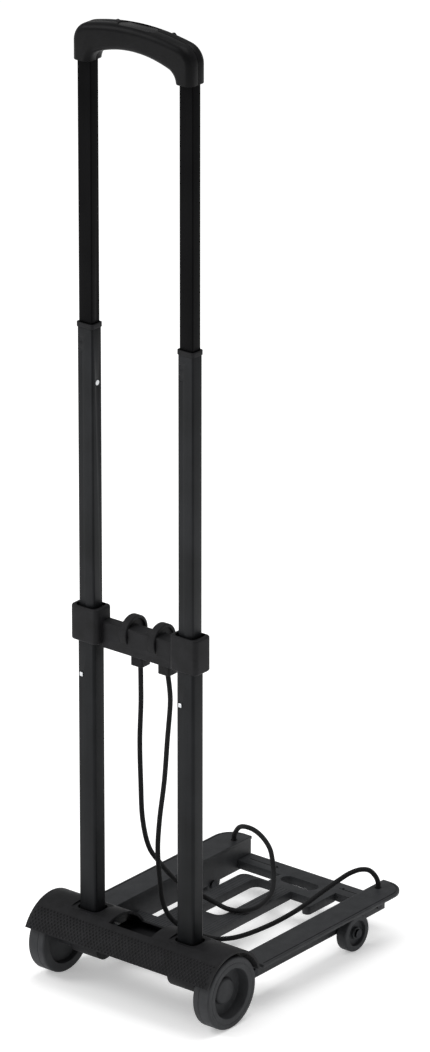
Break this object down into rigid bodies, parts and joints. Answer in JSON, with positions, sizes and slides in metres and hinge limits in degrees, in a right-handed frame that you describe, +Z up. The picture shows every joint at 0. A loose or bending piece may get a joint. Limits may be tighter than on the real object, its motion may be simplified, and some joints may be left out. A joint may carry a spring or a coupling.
{
  "type": "folding luggage cart",
  "caption": "Folding luggage cart with a two-stage telescoping mast, hooded rear wheel base, fold-up platform on small front wheels and two elastic cords.",
  "frame": {"origin": "on the floor, below the middle of the cart outline without its cords", "axes": "+X to the right seen from behind the handle, +Y from the mast to the front of the platform, +Z up the mast"},
  "size_m": [0.227, 0.3144, 0.9791],
  "materials": {
    "housing_plastic": "black moulded nylon with a fine matt grain; diamond texture band on the hood back",
    "deck_plastic": "dark grey-black moulded plastic, satin",
    "handle_plastic": "black moulded plastic, soft satin",
    "button_plastic": "black, slightly glossier than the handle",
    "upper_tube_alloy": "black anodised aluminium tube, satin",
    "tube_alloy": "black anodised aluminium tube, satin",
    "bright_steel": "bright zinc-plated steel",
    "black_steel": "black oxide steel screws, pins and axles",
    "wheel_plastic": "dark grey moulded wheel plastic, matt",
    "inner_plastic": "grey moulded plastic, hidden",
    "cord_braid": "black braided sleeve over elastic"
  },
  "bodies": {
    "base": {"base_housing": "housing_plastic", "rear_axle": "black_steel", "crossbar_bracket": "housing_plastic", "axle_cap_left": "wheel_plastic", "axle_cap_right": "wheel_plastic", "lower_tube_left": "tube_alloy", "lower_tube_right": "tube_alloy", "cord_anchor_left": "housing_plastic", "cord_anchor_right": "housing_plastic", "socket_screw_left": "black_steel", "socket_screw_right": "black_steel", "bracket_screw_left": "black_steel", "bracket_screw_right": "black_steel", "hinge_pin_left": "black_steel", "hinge_pin_right": "black_steel", "bungee_cord_left": "cord_braid", "bungee_cord_right": "cord_braid"},
    "middle_stage": {"middle_tube_left": "tube_alloy", "middle_tube_right": "tube_alloy", "middle_ferrule_left": "housing_plastic", "middle_ferrule_right": "housing_plastic", "middle_foot_left": "inner_plastic", "middle_foot_right": "inner_plastic", "middle_snap_clip_left": "bright_steel", "middle_snap_clip_right": "bright_steel"},
    "upper_stage": {"handle_back_shell": "handle_plastic", "handle_front_shell": "handle_plastic", "upper_tube_left": "upper_tube_alloy", "upper_tube_right": "upper_tube_alloy", "upper_foot_left": "inner_plastic", "upper_foot_right": "inner_plastic", "upper_snap_clip_left": "bright_steel", "upper_snap_clip_right": "bright_steel", "handle_screw_left": "black_steel", "handle_screw_right": "black_steel", "button_spring_left": "bright_steel", "button_spring_right": "bright_steel"},
    "release": {"push_button": "button_plastic", "release_yoke": "inner_plastic", "release_rod_left": "bright_steel", "release_rod_right": "bright_steel"},
    "rear_wheel_left": {"rear_wheel_left": "wheel_plastic"},
    "rear_wheel_right": {"rear_wheel_right": "wheel_plastic"},
    "platform": {"deck_frame": "deck_plastic", "side_rail_left": "deck_plastic", "side_rail_right": "deck_plastic", "rail_screw_rear_left": "black_steel", "rail_screw_rear_right": "black_steel", "rail_screw_front_left": "black_steel", "rail_screw_front_right": "black_steel", "front_axle_left": "black_steel", "front_axle_right": "black_steel", "cord_knot_left": "cord_braid", "cord_knot_right": "cord_braid"},
    "front_wheel_left": {"front_wheel_left": "wheel_plastic"},
    "front_wheel_right": {"front_wheel_right": "wheel_plastic"}
  },
  "joints": [
    {"name": "middle_slide", "type": "slide", "parent": "base", "child": "middle_stage", "axis": [0, 0, 1], "range_m": [-0.258, 0], "deforming": ["middle_snap_clip_left", "middle_snap_clip_right"]},
    {"name": "upper_slide", "type": "slide", "parent": "middle_stage", "child": "upper_stage", "axis": [0, 0, 1], "range_m": [-0.254, 0], "deforming": ["upper_snap_clip_left", "upper_snap_clip_right"]},
    {"name": "button_press", "type": "slide", "parent": "upper_stage", "child": "release", "axis": [0, 0, 1], "range_m": [-0.004, 0], "stiffness_N_per_m": 900, "springref_m": 0.002, "deforming": ["button_spring_left", "button_spring_right"]},
    {"name": "platform_fold", "type": "hinge", "parent": "base", "child": "platform", "pos_m": [0, -0.06982, 0.046], "axis": [1, 0, 0], "range_deg": [0, 90], "deforming": ["bungee_cord_left", "bungee_cord_right"]},
    {"name": "rear_wheel_left_spin", "type": "hinge", "parent": "base", "child": "rear_wheel_left", "pos_m": [-0.102, -0.11782, 0.0365], "axis": [1, 0, 0], "continuous": true},
    {"name": "rear_wheel_right_spin", "type": "hinge", "parent": "base", "child": "rear_wheel_right", "pos_m": [0.102, -0.11782, 0.0365], "axis": [1, 0, 0], "continuous": true},
    {"name": "front_wheel_left_spin", "type": "hinge", "parent": "platform", "child": "front_wheel_left", "pos_m": [-0.093, 0.09419, 0.019], "axis": [1, 0, 0], "continuous": true},
    {"name": "front_wheel_right_spin", "type": "hinge", "parent": "platform", "child": "front_wheel_right", "pos_m": [0.093, 0.09419, 0.019], "axis": [1, 0, 0], "continuous": true}
  ]
}
